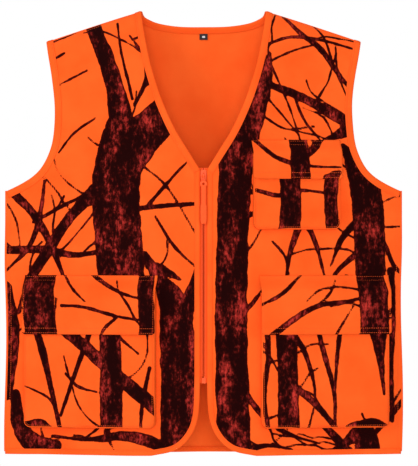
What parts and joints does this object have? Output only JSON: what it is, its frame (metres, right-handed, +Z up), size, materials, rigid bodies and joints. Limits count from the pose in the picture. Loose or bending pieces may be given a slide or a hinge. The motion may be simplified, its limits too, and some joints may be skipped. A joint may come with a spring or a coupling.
{
  "type": "hunting vest",
  "caption": "Sleeveless front-zip vest in blaze orange tree-branch print with plain bound edges, flapped cargo pockets and a flapped chest pocket.",
  "frame": {"origin": "midway between the neck ends of the two shoulder seams, where a hanger carries the vest", "axes": "+Z up, the zipped front faces -Y, +X is the wearer's left"},
  "size_m": [0.58, 0.118, 0.6521],
  "materials": {
    "printed_cloth": "soft matt knit, blaze orange with a dark tree-and-branch print outside and plain orange inside",
    "binding": "plain matt orange fold-over binding",
    "zip_tape": "woven orange zip tape",
    "zip_plastic": "moulded orange plastic",
    "zip_metal": "orange lacquered zinc",
    "pull_tab": "soft orange moulded tab",
    "hook_and_loop": "orange hook-and-loop tape",
    "label": "black woven label"
  },
  "bodies": {
    "vest": {"front_left_panel": "printed_cloth", "front_right_panel": "printed_cloth", "back_panel": "printed_cloth", "neck_binding": "binding", "left_armhole_binding": "binding", "right_armhole_binding": "binding", "left_front_binding": "binding", "right_front_binding": "binding", "back_hem_binding": "binding", "zip_tape_left": "zip_tape", "zip_tape_right": "zip_tape", "zip_teeth_left": "zip_plastic", "zip_teeth_right": "zip_plastic", "zip_top_stop_left": "zip_plastic", "zip_top_stop_right": "zip_plastic", "zip_insertion_pin": "zip_plastic", "zip_box": "zip_plastic", "size_label": "label", "lower_right_pocket_gusset": "printed_cloth", "lower_right_pocket_face": "printed_cloth", "lower_right_pocket_loop_tape": "hook_and_loop", "lower_left_pocket_gusset": "printed_cloth", "lower_left_pocket_face": "printed_cloth", "lower_left_pocket_loop_tape": "hook_and_loop", "chest_pocket_gusset": "printed_cloth", "chest_pocket_face": "printed_cloth", "chest_pocket_loop_tape": "hook_and_loop"},
    "slider": {"zip_slider": "zip_metal"},
    "pull": {"zip_pull": "zip_metal", "zip_pull_tab": "pull_tab"},
    "lower_right_pocket_flap": {"lower_right_pocket_flap": "printed_cloth", "lower_right_pocket_hook_tape": "hook_and_loop"},
    "lower_left_pocket_flap": {"lower_left_pocket_flap": "printed_cloth", "lower_left_pocket_hook_tape": "hook_and_loop"},
    "chest_pocket_flap": {"chest_pocket_flap": "printed_cloth", "chest_pocket_hook_tape": "hook_and_loop"}
  },
  "joints": [
    {"name": "zip_slider_slide", "type": "slide", "parent": "vest", "child": "slider", "axis": [0, 0, -1], "range_m": [0, 0.284]},
    {"name": "zip_pull_swing", "type": "hinge", "parent": "slider", "child": "pull", "pos_m": [0, -0.05475, -0.2405], "axis": [-1, 0, 0], "range_deg": [0, 160]},
    {"name": "lower_right_pocket_flap_hinge", "type": "hinge", "parent": "vest", "child": "lower_right_pocket_flap", "pos_m": [-0.16545, -0.03045, -0.386], "axis": [-0.9809, 0.1944, 0], "range_deg": [0, 130]},
    {"name": "lower_left_pocket_flap_hinge", "type": "hinge", "parent": "vest", "child": "lower_left_pocket_flap", "pos_m": [0.17689, -0.02804, -0.386], "axis": [-0.9799, -0.1996, 0], "range_deg": [0, 130]},
    {"name": "chest_pocket_flap_hinge", "type": "hinge", "parent": "vest", "child": "chest_pocket_flap", "pos_m": [0.13575, -0.03636, -0.188], "axis": [-0.9827, -0.1853, 0], "range_deg": [0, 125]}
  ]
}
